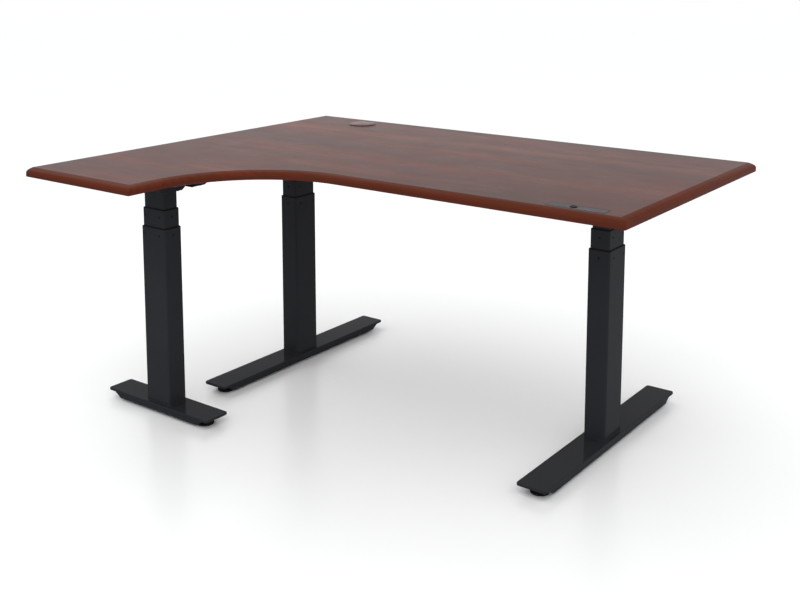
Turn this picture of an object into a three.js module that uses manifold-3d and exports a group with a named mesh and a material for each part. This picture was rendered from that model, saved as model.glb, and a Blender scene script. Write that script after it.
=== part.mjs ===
// Three-leg, L-shaped, height adjustable standing desk.
// Units are millimetres, +Z is up, the floor is z = 0 and the origin is the middle of the footprint.
// The user sits in the inner bay, facing +Y; "left" and "right" are the user's.
import * as THREE from 'three';
import { mergeVertices } from 'three/addons/utils/BufferGeometryUtils.js';
import Module from 'manifold-3d';

const wasm = await Module();
wasm.setup();

// ---------- driving dimensions ----------
const GAP = 0.3;                 // air between touching pieces
const SPAN_X = 1524;             // desktop along the back edge
const SPAN_Y = 1219.2;           // desktop along the left edge
const TOP_Z = 710;               // working surface, at the stored height
const TOP_THICK = 23;
const MAIN_DEPTH = 814.2;        // depth of the main wing
const RETURN_WIDTH = 411;        // width of the left wing
const INNER_RADIUS = 305;        // concave curve between the wings
const ROUND_OVER = [22, 12];     // eased upper edge: run inwards, fall downwards

// turn sets the foot's direction, motorTurn the side of the column that the motor lies on
const LEGS = {
  corner: { x: -527, y: 198, turn: 0, motorTurn: 0, footLength: 748 },
  right: { x: 527, y: 198, turn: 0, motorTurn: Math.PI, footLength: 748 },
  left: { x: -556.2, y: -331.4, turn: Math.PI / 2, motorTurn: 0, footLength: 402 },
};

const FOOT_WIDTH = 81.5;
const FOOT_CORNER = 7.5;
const FOOT_TOP = 30;
const FOOT_PLATE = 7;
const FOOT_CHANNEL = { width: 74, wall: 3, bottom: 7, overhang: 18, slope: 25 };
const PAD_INSET = 46;            // levelling pad centre from the foot's end
const PAD_RADIUS = 24;

const TUBE_WALL = 1.6;
const OUTER = { w: 60.6, d: 93.6, r: 5, bottom: FOOT_TOP + GAP, top: 529 };
const MIDDLE = { w: 54, d: 87, r: 4.2, bottom: 86, top: 581 };
const INNER = { w: 47.4, d: 80.4, r: 3.5, bottom: 137, top: 630.7 };
const GLIDE = { rim: 1.3, sleeve: 40, pinDrop: 19.5, pinRadius: 1.9, holeRadius: 2.3 };
const PIN_OFFSETS = [-23.5, 33.5]; // snap pins along the column's wide faces

const HEAD = { bottom: 631, width: 104.4, wall: 3, foot: 33, mouth: 108 };
const UNDERSIDE = TOP_Z - TOP_THICK;
const FRAME_TOP = UNDERSIDE - GAP;
const MOTOR = { width: 60, back: 27, length: 119, nose: 146 };
const BAR = { width: 18, height: 26, wall: 2, offset: 39.6, bottom: 648.7 };
const RAIL = { width: 40, height: 11.7, wall: 2.5, length: 526, shortLength: 312 };

const BASE_SCREW = { r: 6, top: 540 };
const MID_SCREW = { r: 11, bore: 7, flange: 15, top: 575 };
const DRIVE_TUBE = { r: 16, bore: 11.6, bottom: 150, top: 646 };

const GROMMET = { x: -535, y: 531, hole: 40, flange: 44.8, height: 3, notch: 12 };
const CONTROL = { x: 622.5, y: -157, width: 147, depth: 35, buttonX: 613, well: 9.3, thick: 1.6 };
const CONTROL_POCKET = { width: 131, depth: 22, deep: 14, leadX: -40, leadRadius: 6 };

// ---------- finishes ----------
function finish(color, roughness, metalness) {
  return new THREE.MeshStandardMaterial({ color, roughness, metalness });
}
const powderCoat = () => finish(0x2a2b2d, 0.45, 0.3);
const laminate = () => finish(0x6b3327, 0.35, 0);
const blackPlastic = () => finish(0x141414, 0.6, 0);
const brownPlastic = () => finish(0x3a2a26, 0.45, 0);
const greyPlastic = () => finish(0x6a6d70, 0.5, 0);
const bareSteel = () => finish(0xa3a6a8, 0.35, 0.9);
const rubber = () => finish(0x0c0c0c, 0.85, 0);

// ---------- solids ----------
function solid(geometry) {
  const bare = geometry.clone();
  bare.deleteAttribute('normal');
  bare.deleteAttribute('uv');
  const merged = mergeVertices(bare, 1e-4);
  const vertProperties = new Float32Array(merged.attributes.position.array);
  const triVerts = new Uint32Array(merged.index.array);
  return new wasm.Manifold(new wasm.Mesh({ numProp: 3, vertProperties, triVerts }));
}

function geometryOf(manifold) {
  const mesh = manifold.getMesh();
  const geometry = new THREE.BufferGeometry();
  geometry.setAttribute('position', new THREE.BufferAttribute(new Float32Array(mesh.vertProperties), 3));
  geometry.setIndex(new THREE.BufferAttribute(new Uint32Array(mesh.triVerts), 1));
  geometry.computeVertexNormals();
  return geometry;
}

const union = (first, ...rest) => rest.reduce((sum, piece) => sum.add(solid(piece)), solid(first));
const cut = (body, ...tools) => tools.reduce((rest, tool) => rest.subtract(solid(tool)), body);

function box(x0, x1, y0, y1, z0, z1) {
  const geometry = new THREE.BoxGeometry(x1 - x0, y1 - y0, z1 - z0);
  return geometry.translate((x0 + x1) / 2, (y0 + y1) / 2, (z0 + z1) / 2);
}

function post(x, y, radius, z0, z1, sides = 24) {
  const geometry = new THREE.CylinderGeometry(radius, radius, z1 - z0, sides);
  return geometry.rotateX(Math.PI / 2).translate(x, y, (z0 + z1) / 2);
}

// a pin lying along X or Y, centred on the column
function crossPin(axis, length, radius, offset, z, sides = 8) {
  const geometry = new THREE.CylinderGeometry(radius, radius, length, sides);
  if (axis === 'x') return geometry.rotateZ(Math.PI / 2).translate(0, offset, z);
  return geometry.translate(offset, 0, z);
}

function roundedPath(Kind, width, depth, radius) {
  const path = new Kind();
  const x = width / 2 - radius;
  const y = depth / 2 - radius;
  path.absarc(x, y, radius, 0, Math.PI / 2);
  path.absarc(-x, y, radius, Math.PI / 2, Math.PI);
  path.absarc(-x, -y, radius, Math.PI, Math.PI * 1.5);
  path.absarc(x, -y, radius, Math.PI * 1.5, Math.PI * 2);
  path.closePath();
  return path;
}

function plate(width, depth, radius, z0, z1) {
  const shape = roundedPath(THREE.Shape, width, depth, radius);
  const geometry = new THREE.ExtrudeGeometry(shape, { depth: z1 - z0, bevelEnabled: false, curveSegments: 2 });
  return geometry.translate(0, 0, z0);
}

// an upright rectangular ring with rounded corners
function ring(outer, inner, z0, z1) {
  const shape = roundedPath(THREE.Shape, ...outer);
  shape.holes.push(roundedPath(THREE.Path, ...inner));
  const geometry = new THREE.ExtrudeGeometry(shape, { depth: z1 - z0, bevelEnabled: false, curveSegments: 2 });
  return geometry.translate(0, 0, z0);
}

// a solid of revolution about Z from [radius, z] points that start and end on the axis or close on themselves
function turned(profile, sides = 24) {
  const points = profile.map(([r, z]) => new THREE.Vector2(r, z));
  return new THREE.LatheGeometry(points, sides).rotateX(Math.PI / 2);
}

// a flat outline in the XZ plane, extruded along Y and centred on it
function sideProfile(points, width) {
  const shape = new THREE.Shape(points.map(([x, z]) => new THREE.Vector2(x, z)));
  const geometry = new THREE.ExtrudeGeometry(shape, { depth: width, bevelEnabled: false });
  return geometry.rotateX(Math.PI / 2).translate(0, width / 2, 0);
}

// a rectangular hollow bar along X, open at both ends
function hollowBar(length) {
  const outer = [BAR.height, BAR.width, 2];
  const inner = [BAR.height - 2 * BAR.wall, BAR.width - 2 * BAR.wall, 0.6];
  return ring(outer, inner, -length / 2, length / 2).rotateY(Math.PI / 2);
}

// a shallow channel along Y, open underneath
function railChannel(length) {
  const half = RAIL.width / 2;
  const inside = half - RAIL.wall;
  const ceiling = RAIL.height - RAIL.wall;
  const outline = [
    [-half, 0], [-inside, 0], [-inside, ceiling], [inside, ceiling],
    [inside, 0], [half, 0], [half, RAIL.height], [-half, RAIL.height],
  ];
  return sideProfile(outline, length);
}

function lead(points, radius) {
  const route = new THREE.CatmullRomCurve3(points.map((p) => new THREE.Vector3(...p)), false, 'centripetal');
  const section = new THREE.Shape();
  section.absarc(0, 0, radius, 0, Math.PI * 2);
  const steps = 2 * points.length;
  return new THREE.ExtrudeGeometry(section, { steps, extrudePath: route, curveSegments: 4 });
}

// ---------- leg pieces, in the leg's own frame: foot along Y, motor towards +X ----------
function footGeometry(length) {
  const c = FOOT_CHANNEL;
  const plateBottom = FOOT_TOP - FOOT_PLATE;
  const long = length / 2 - c.overhang;
  const short = long - c.slope;
  const trapezoid = (trim, z0, z1) => [
    [-short + trim, z0], [short - trim, z0], [long - trim, z1], [-long + trim, z1],
  ];
  const channel = sideProfile(trapezoid(0, c.bottom, plateBottom + 1), c.width).rotateZ(Math.PI / 2);
  const hollow = sideProfile(trapezoid(1.5 * c.wall, c.bottom - 0.5, plateBottom), c.width - 2 * c.wall);
  const body = union(plate(FOOT_WIDTH, length, FOOT_CORNER, plateBottom, FOOT_TOP), channel);
  const pad = length / 2 - PAD_INSET;
  const studHoles = [-pad, pad].map((y) => post(0, y, 6, 1, plateBottom, 16));
  return geometryOf(cut(body, hollow.rotateZ(Math.PI / 2), ...studHoles));
}

function padGeometry() {
  return turned([
    [0, 0], [PAD_RADIUS - 1.5, 0], [PAD_RADIUS, 1.5], [PAD_RADIUS, 4.5], [PAD_RADIUS - 3, 6.5],
    [4, 6.5], [4, FOOT_TOP - FOOT_PLATE - 0.7], [0, FOOT_TOP - FOOT_PLATE - 0.7],
  ], 20);
}

// two pins through each wide face of a tube and one through each narrow face
function crossPins(tube, excess, radius) {
  const z = tube.top - GLIDE.pinDrop;
  const wide = PIN_OFFSETS.map((offset) => crossPin('x', tube.w + excess, radius, offset, z));
  return [...wide, crossPin('y', tube.d + excess, radius, 0, z)];
}

function tubeGeometry(tube) {
  const bore = [tube.w - 2 * TUBE_WALL, tube.d - 2 * TUBE_WALL, tube.r - TUBE_WALL];
  return ring([tube.w, tube.d, tube.r], bore, tube.bottom, tube.top);
}

const snapHoles = (tube) => crossPins(tube, 4, GLIDE.holeRadius);
const outerTubeGeometry = () => geometryOf(cut(solid(tubeGeometry(OUTER)), ...snapHoles(OUTER)));

// the middle tube has a floor that carries the hollow screw
function middleTubeGeometry() {
  const inset = 2 * TUBE_WALL - 0.4;
  const floor = plate(MIDDLE.w - inset, MIDDLE.d - inset, 2.5, MIDDLE.bottom, MIDDLE.bottom + 3);
  const body = union(tubeGeometry(MIDDLE), floor);
  return geometryOf(cut(body, ...snapHoles(MIDDLE), post(0, 0, 7.5, 80, 95, 16)));
}

// plastic collar: a rim on the tube's end, a sleeve inside it and six snap pins through its wall
function glideGeometry(tube, guided) {
  const bore = [guided.w + 2 * GAP, guided.d + 2 * GAP, guided.r + GAP];
  const seat = tube.top + GAP;
  const rim = ring([tube.w - 0.4, tube.d - 0.4, tube.r], bore, seat, seat + GLIDE.rim);
  const inset = 2 * (TUBE_WALL + GAP);
  const low = tube.top - GLIDE.sleeve;
  const sleeve = ring([tube.w - inset, tube.d - inset, tube.r - 1.9], bore, low, seat + 0.5);
  const pins = crossPins(tube, -0.3, GLIDE.pinRadius);
  return geometryOf(cut(union(rim, sleeve, ...pins), plate(...bore, low - 5, tube.top + 5)));
}

const baseScrewGeometry = () => turned([
  [0, OUTER.bottom], [BASE_SCREW.r + 6, OUTER.bottom], [BASE_SCREW.r + 6, OUTER.bottom + 4],
  [BASE_SCREW.r, OUTER.bottom + 6], [BASE_SCREW.r, BASE_SCREW.top - 2], [BASE_SCREW.r - 2, BASE_SCREW.top],
  [0, BASE_SCREW.top],
], 16);

const midScrewGeometry = () => turned([
  [MID_SCREW.bore, MIDDLE.bottom + 3 + GAP], [MID_SCREW.flange, MIDDLE.bottom + 3 + GAP],
  [MID_SCREW.flange, MIDDLE.bottom + 8], [MID_SCREW.r, MIDDLE.bottom + 9], [MID_SCREW.r, MID_SCREW.top],
  [MID_SCREW.bore, MID_SCREW.top], [MID_SCREW.bore, MIDDLE.bottom + 3 + GAP],
], 16);

const driveTubeGeometry = () => turned([
  [DRIVE_TUBE.bore, DRIVE_TUBE.bottom], [DRIVE_TUBE.r, DRIVE_TUBE.bottom], [DRIVE_TUBE.r, DRIVE_TUBE.top],
  [0, DRIVE_TUBE.top], [0, DRIVE_TUBE.top - 6], [DRIVE_TUBE.bore, DRIVE_TUBE.top - 6],
  [DRIVE_TUBE.bore, DRIVE_TUBE.bottom],
], 16);

// folded steel trough between the column and the desktop, with notches for the crossbars and the motor
function headGeometry() {
  const outline = (trim, z0, z1) => [
    [-HEAD.foot + trim, z0], [HEAD.foot - trim, z0], [HEAD.mouth - trim, z1], [-HEAD.mouth + trim, z1],
  ];
  const inside = HEAD.width / 2 - HEAD.wall;
  const floor = HEAD.bottom + HEAD.wall;
  const body = solid(sideProfile(outline(0, HEAD.bottom, FRAME_TOP), HEAD.width));
  const notch = BAR.bottom - 0.5;
  const above = FRAME_TOP + 5;
  const start = HEAD.foot - 2 * HEAD.wall;
  const end = HEAD.mouth + 5;
  const motorSide = MOTOR.width / 2 + 0.8;
  const barSide = BAR.offset - BAR.width / 2 - 0.5;
  return geometryOf(cut(
    body,
    sideProfile(outline(2 * HEAD.wall - 1, floor, FRAME_TOP + 3), 2 * inside),
    box(start, end, -inside, inside, notch, above),
    box(start, end, -motorSide, motorSide, floor, above),
    box(-end, -start, barSide, inside, notch, above),
    box(-end, -start, -inside, -barSide, notch, above),
    post(0, 0, DRIVE_TUBE.r + 1.5, HEAD.bottom - 5, floor + 5),
  ));
}

// gearbox over the column and motor beside it in one housing, with a flange under the crossbars
function motorGeometry() {
  const bottom = HEAD.bottom + HEAD.wall + GAP;
  const { back, length, nose, width } = MOTOR;
  const housing = sideProfile([
    [-back, bottom], [length, bottom], [nose, bottom + 14], [nose, FRAME_TOP - 4], [nose - 4, FRAME_TOP - GAP],
    [4 - back, FRAME_TOP - GAP], [-back, FRAME_TOP - 4],
  ], width);
  const low = HEAD.bottom + 1;
  const flange = sideProfile([
    [67, low], [length, low], [length + 10, low + 6], [length + 13, BAR.bottom - 0.6], [88, BAR.bottom - 0.6],
  ], HEAD.width);
  return geometryOf(cut(union(housing, flange), post(0, 0, DRIVE_TUBE.r + 1, bottom - 5, DRIVE_TUBE.top + 3)));
}

// ---------- assembly ----------
const group = new THREE.Group();

function piece(parent, name, geometry, material, x = 0, y = 0, z = 0) {
  const mesh = new THREE.Mesh(geometry, material);
  mesh.name = name;
  mesh.position.set(x, y, z);
  parent.add(mesh);
  return mesh;
}

for (const [side, { x, y, turn, motorTurn, footLength }] of Object.entries(LEGS)) {
  const leg = new THREE.Group();
  leg.position.set(x, y, 0);
  leg.rotation.z = turn;
  group.add(leg);
  piece(leg, `${side}_foot`, footGeometry(footLength), powderCoat());
  piece(leg, `${side}_outer_tube`, outerTubeGeometry(), powderCoat());
  piece(leg, `${side}_middle_tube`, middleTubeGeometry(), powderCoat());
  piece(leg, `${side}_inner_tube`, tubeGeometry(INNER), powderCoat());
  piece(leg, `${side}_outer_glide`, glideGeometry(OUTER, MIDDLE), blackPlastic());
  piece(leg, `${side}_middle_glide`, glideGeometry(MIDDLE, INNER), blackPlastic());
  piece(leg, `${side}_base_screw`, baseScrewGeometry(), bareSteel());
  piece(leg, `${side}_hollow_screw`, midScrewGeometry(), bareSteel());
  piece(leg, `${side}_drive_tube`, driveTubeGeometry(), bareSteel());
  piece(leg, `${side}_head_bracket`, headGeometry().rotateZ(motorTurn), powderCoat());
  piece(leg, `${side}_motor`, motorGeometry().rotateZ(motorTurn), powderCoat());
  piece(leg, `${side}_pad_a`, padGeometry(), rubber(), 0, footLength / 2 - PAD_INSET);
  piece(leg, `${side}_pad_b`, padGeometry(), rubber(), 0, PAD_INSET - footLength / 2);
}

// crossbars: two from the corner leg to the right leg, two from the corner leg to the left leg
const barZ = BAR.bottom + BAR.height / 2;
const reach = HEAD.mouth + 4 + RAIL.width;
const mainStart = LEGS.corner.x - reach;
const mainEnd = LEGS.right.x + reach;
const returnStart = LEGS.left.y - reach;
const returnEnd = LEGS.corner.y - HEAD.width / 2 - GAP;
for (const [side, offset] of Object.entries({ front: -BAR.offset, rear: BAR.offset })) {
  const bar = hollowBar(mainEnd - mainStart);
  const x = (mainStart + mainEnd) / 2;
  piece(group, `main_${side}_crossbar`, bar, powderCoat(), x, LEGS.right.y + offset, barZ);
}
for (const [side, offset] of Object.entries({ inner: BAR.offset, outer: -BAR.offset })) {
  const bar = hollowBar(returnEnd - returnStart).rotateZ(Math.PI / 2);
  const y = (returnStart + returnEnd) / 2;
  piece(group, `return_${side}_crossbar`, bar, powderCoat(), LEGS.left.x + offset, y, barZ);
}

// support rails across the crossbar ends, against the desktop
const railZ = FRAME_TOP - RAIL.height;
const railX = { corner: mainStart + RAIL.width / 2, right: mainEnd - RAIL.width / 2 };
for (const [side, x] of Object.entries(railX)) {
  piece(group, `${side}_support_rail`, railChannel(RAIL.length), powderCoat(), x, LEGS.right.y, railZ);
}
const leftRail = railChannel(RAIL.shortLength).rotateZ(Math.PI / 2);
piece(group, 'left_support_rail', leftRail, powderCoat(), LEGS.left.x, returnStart + RAIL.width / 2, railZ);

// desktop: an L with a concave inner curve; the eased edge is bevelled all round an oversize L,
// and trimming the back and left sides leaves those two edges square
function desktopGeometry() {
  const oversize = 30;
  const right = SPAN_X / 2;
  const front = SPAN_Y / 2 - MAIN_DEPTH;
  const inner = -SPAN_X / 2 + RETURN_WIDTH;
  const near = -SPAN_Y / 2;
  const left = -SPAN_X / 2 - oversize;
  const back = SPAN_Y / 2 + oversize;
  const outline = new THREE.Shape();
  outline.moveTo(left, near);
  outline.lineTo(inner, near);
  outline.absarc(inner + INNER_RADIUS, front - INNER_RADIUS, INNER_RADIUS, Math.PI, Math.PI / 2, true);
  outline.lineTo(right, front);
  outline.lineTo(right, back);
  outline.lineTo(left, back);
  outline.closePath();
  const [run, fall] = ROUND_OVER;
  const depth = TOP_THICK - fall + 4;
  const slab = new THREE.ExtrudeGeometry(outline, {
    depth, bevelThickness: fall, bevelSize: run, bevelOffset: -run, bevelSegments: 5, curveSegments: 10,
  }).translate(0, 0, TOP_Z - fall - depth);
  const limits = box(-SPAN_X / 2, SPAN_X / 2 + 5, -SPAN_Y / 2 - 5, SPAN_Y / 2, UNDERSIDE, TOP_Z + 5);
  const c = CONTROL;
  const pocket = CONTROL_POCKET;
  const pocketX = pocket.width / 2;
  const pocketY = pocket.depth / 2;
  return geometryOf(cut(
    solid(slab).intersect(solid(limits)),
    post(GROMMET.x, GROMMET.y, GROMMET.hole, UNDERSIDE - 5, TOP_Z + 5, 40),
    box(c.x - pocketX, c.x + pocketX, c.y - pocketY, c.y + pocketY, TOP_Z - pocket.deep, TOP_Z + 5),
    post(c.x + pocket.leadX, c.y, pocket.leadRadius, UNDERSIDE - 5, TOP_Z, 16),
  ));
}
piece(group, 'desktop', desktopGeometry(), laminate());

// cable grommet: a flanged ring in the desktop and a lift-out cap with a cable notch
function grommetRingGeometry() {
  const g = GROMMET;
  const z = TOP_Z + GAP;
  return turned([
    [g.hole - 3.5, UNDERSIDE + 3], [g.hole - 0.5, UNDERSIDE + 3], [g.hole - 0.5, z], [g.flange, z],
    [g.flange, z + g.height - 1], [g.flange - 1.5, z + g.height], [g.hole - 0.5, z + g.height],
    [g.hole - 0.5, z + 0.6], [g.hole - 3.5, z + 0.6], [g.hole - 3.5, UNDERSIDE + 3],
  ], 32);
}
function grommetCapGeometry() {
  const z = TOP_Z + GAP + 0.6 + GAP;
  const radius = GROMMET.hole - 0.9;
  const skirt = GROMMET.hole - 4;
  const body = solid(turned([
    [0, z + 1], [skirt - 2, z + 1], [skirt - 2, z - 9], [skirt, z - 9], [skirt, z], [radius, z],
    [radius, z + 2], [radius - 2, z + 3.4], [0, z + 4.2],
  ], 32));
  const notch = post(0, GROMMET.hole - 3, GROMMET.notch, z - 20, z + 20, 16);
  return geometryOf(cut(body, notch));
}
piece(group, 'grommet_ring', grommetRingGeometry(), brownPlastic(), GROMMET.x, GROMMET.y);
piece(group, 'grommet_cap', grommetCapGeometry(), brownPlastic(), GROMMET.x, GROMMET.y);

// up and down control: a housing let into the desktop, its cover plate and a rocker button
function controlHousingGeometry() {
  const z = TOP_Z - CONTROL_POCKET.deep + GAP;
  const body = solid(plate(CONTROL_POCKET.width - 1, CONTROL_POCKET.depth - 1, 3, z, TOP_Z - GAP));
  const well = post(CONTROL.buttonX - CONTROL.x, 0, CONTROL.well, z + 4, TOP_Z + 2, 24);
  return geometryOf(cut(body, well));
}
function controlPlateGeometry() {
  const body = solid(plate(CONTROL.width, CONTROL.depth, 2.5, TOP_Z + GAP, TOP_Z + GAP + CONTROL.thick));
  const opening = post(CONTROL.buttonX - CONTROL.x, 0, CONTROL.well, TOP_Z - 5, TOP_Z + 5, 24);
  return geometryOf(cut(body, opening));
}
const rockerPivot = TOP_Z - 4;
const rockerGeometry = () => turned([
  [0, rockerPivot - 3], [7, rockerPivot - 3], [8.4, rockerPivot], [8.4, TOP_Z + 3.6],
  [7, TOP_Z + 5], [0, TOP_Z + 4.2],
], 24);
piece(group, 'control_housing', controlHousingGeometry(), blackPlastic(), CONTROL.x, CONTROL.y);
piece(group, 'control_plate', controlPlateGeometry(), greyPlastic(), CONTROL.x, CONTROL.y);
piece(group, 'rocker_button', rockerGeometry(), blackPlastic(), CONTROL.buttonX, CONTROL.y);

// control box under the desktop, with its mains inlet at the back
const BOX = { x0: -60, x1: 200, y0: 290, y1: 380, z0: 648, ear: 17 };
const INLET = { x: 150, z: 667, width: 30, height: 24, depth: 16 };
function controlBoxGeometry() {
  const width = BOX.x1 - BOX.x0;
  const middle = [(BOX.x0 + BOX.x1) / 2, (BOX.y0 + BOX.y1) / 2, 0];
  const shell = plate(width, BOX.y1 - BOX.y0, 6, BOX.z0, FRAME_TOP).translate(...middle);
  const ears = plate(width + 2 * BOX.ear, 60, 6, FRAME_TOP - 3, FRAME_TOP).translate(...middle);
  const { x, z, depth } = INLET;
  const w = INLET.width / 2 + GAP;
  const h = INLET.height / 2 + GAP;
  return geometryOf(cut(union(shell, ears), box(x - w, x + w, BOX.y1 - depth, BOX.y1 + 5, z - h, z + h)));
}
function inletGeometry() {
  const { x, z, width, height, depth } = INLET;
  const rear = BOX.y1 - depth + GAP;
  const front = BOX.y1 + 1.2;
  const block = box(x - width / 2, x + width / 2, rear, front, z - height / 2, z + height / 2);
  const socket = box(x - 12, x + 12, rear + 3, front + 5, z - 8, z + 8);
  const blades = [-6.5, 0, 6.5].map((dx) => box(x + dx - 1, x + dx + 1, rear + 2, front - 3, z - 3, z + 3));
  return geometryOf(blades.reduce((sum, blade) => sum.add(solid(blade)), cut(solid(block), socket)));
}
piece(group, 'control_box', controlBoxGeometry(), blackPlastic());
piece(group, 'power_inlet', inletGeometry(), blackPlastic());

// leads from the motors and the rocker to the control box, held under the desktop
const LEAD_RADIUS = 2.5;
const motorEnd = MOTOR.nose + GAP + 0.2;
const legY = LEGS.right.y;
const leads = {
  right_motor_lead: [
    [LEGS.right.x - motorEnd, legY, 665], [355, legY, 664], [320, 202, 652], [290, 222, 642.5], [262, 248, 642.5],
    [240, 280, 650], [226, 306, 658], [214, 320, 662], [BOX.x1 + 0.5, 320, 662],
  ],
  corner_motor_lead: [
    [LEGS.corner.x + motorEnd, legY, 665], [-355, legY, 664], [-310, 202, 652], [-270, 222, 642.5],
    [-232, 248, 642.5], [-180, 285, 652], [-120, 318, 660], [-84, 330, 662], [BOX.x0 - 0.5, 330, 662],
  ],
  left_motor_lead: [
    [LEGS.left.x, LEGS.left.y + motorEnd, 665], [LEGS.left.x, -150, 663], [-552, -110, 652], [-530, -70, 642.5],
    [-500, -40, 642.5], [-460, -5, 655], [-400, 45, 672], [-300, 100, 682], [-200, 118, 680], [-150, 128, 660],
    [-135, 145, 642.5], [-120, 200, 642], [-105, 255, 641.5], [-96, 290, 655], [-84, 310, 662],
    [BOX.x0 - 0.5, 310, 662],
  ],
  button_lead: [
    [CONTROL.x + CONTROL_POCKET.leadX, CONTROL.y, 682], [560, -138, 681.5], [490, -79, 682], [420, -20, 682],
    [330, 80, 682], [292, 122, 676], [278, 140, 645], [262, 170, 641.5], [250, 215, 641.5], [236, 262, 642.5],
    [224, 290, 652], [212, 304, 662], [BOX.x1 + 0.5, 304, 662],
  ],
};
for (const [name, points] of Object.entries(leads)) {
  piece(group, name, lead(points, LEAD_RADIUS), rubber());
}

export default group;
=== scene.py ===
import math

import bmesh
import bpy
from mathutils import Matrix, Vector


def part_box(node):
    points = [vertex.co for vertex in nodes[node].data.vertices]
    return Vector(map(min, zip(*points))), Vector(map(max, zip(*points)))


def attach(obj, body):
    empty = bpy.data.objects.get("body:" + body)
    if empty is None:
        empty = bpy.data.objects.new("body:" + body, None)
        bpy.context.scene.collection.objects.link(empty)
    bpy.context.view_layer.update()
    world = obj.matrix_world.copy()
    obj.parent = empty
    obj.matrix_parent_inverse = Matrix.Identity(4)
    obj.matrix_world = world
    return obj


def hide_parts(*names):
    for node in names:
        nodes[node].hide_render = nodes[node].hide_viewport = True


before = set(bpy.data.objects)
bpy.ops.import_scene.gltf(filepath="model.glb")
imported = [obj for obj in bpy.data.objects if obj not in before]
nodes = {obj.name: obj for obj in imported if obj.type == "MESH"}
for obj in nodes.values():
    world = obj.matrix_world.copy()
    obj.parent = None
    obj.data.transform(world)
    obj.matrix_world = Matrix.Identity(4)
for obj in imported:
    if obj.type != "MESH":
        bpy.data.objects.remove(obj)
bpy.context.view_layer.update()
scene = bpy.context.scene

LEGS = ("corner", "right", "left")
LONG_AXIS = {"corner": 0.0, "right": 0.0, "left": math.pi / 2}      # which way each foot points
MOTOR_AXIS = {"corner": 0.0, "right": math.pi, "left": math.pi / 2}  # which way each motor lies
INNER_RADIUS = 0.305
WING_WIDTH = 0.411
MAIN_DEPTH = 0.8142
GROMMET_HOLE = 0.040
TUBE_WALL = 0.0016
PIN_OFFSETS = (-0.0235, 0.0335)
PIN_DROP = 0.0195
LEAD_WINDOW = 0.012
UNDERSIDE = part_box("desktop")[0].z
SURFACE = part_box("desktop")[1].z
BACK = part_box("desktop")[1].y
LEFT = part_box("desktop")[0].x


# ---------- camera, floor and light ----------
def make_camera():
    data = bpy.data.cameras.new("camera")
    data.sensor_width = 36
    data.lens = 49.33
    data.shift_y = -0.236
    data.clip_end = 50
    camera = bpy.data.objects.new("camera", data)
    camera.location = (1.7259, -2.3052, 1.2570)
    camera.rotation_euler = (math.radians(82.093), 0, math.radians(36.577))
    scene.collection.objects.link(camera)
    scene.camera = camera


def make_light():
    world = bpy.data.worlds.new("studio")
    world.use_nodes = True
    background = world.node_tree.nodes["Background"]
    background.inputs["Color"].default_value = (1, 1, 1, 1)
    background.inputs["Strength"].default_value = 1.03
    scene.world = world
    scene.view_settings.view_transform = "Standard"
    for name, place, size, power in (
        ("key", (1.5, -2.5, 3.5), 3.0, 44),
        ("fill", (-2.5, 1.0, 3.5), 3.0, 26),
    ):
        data = bpy.data.lights.new(name, "AREA")
        data.size = size
        data.energy = power
        lamp = bpy.data.objects.new(name, data)
        lamp.location = place
        lamp.rotation_euler = (Vector((0, 0, 0.4)) - Vector(place)).to_track_quat("-Z", "Y").to_euler()
        scene.collection.objects.link(lamp)


def make_floor():
    mesh = bpy.data.meshes.new("floor")
    half = 30
    corners = [(-half, -half, 0), (half, -half, 0), (half, half, 0), (-half, half, 0)]
    mesh.from_pydata(corners, [], [(0, 1, 2, 3)])
    floor = bpy.data.objects.new("floor", mesh)
    scene.collection.objects.link(floor)
    material, shader = new_material("floor_white")
    shader.inputs["Base Color"].default_value = (0.94, 0.95, 0.955, 1)
    shader.inputs["Roughness"].default_value = 0.25
    shader.inputs["Specular IOR Level"].default_value = 0.3
    mesh.materials.append(material)


# ---------- material helpers ----------
def new_material(name):
    material = bpy.data.materials.new(name)
    material.use_nodes = True
    return material, material.node_tree.nodes["Principled BSDF"]


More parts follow.
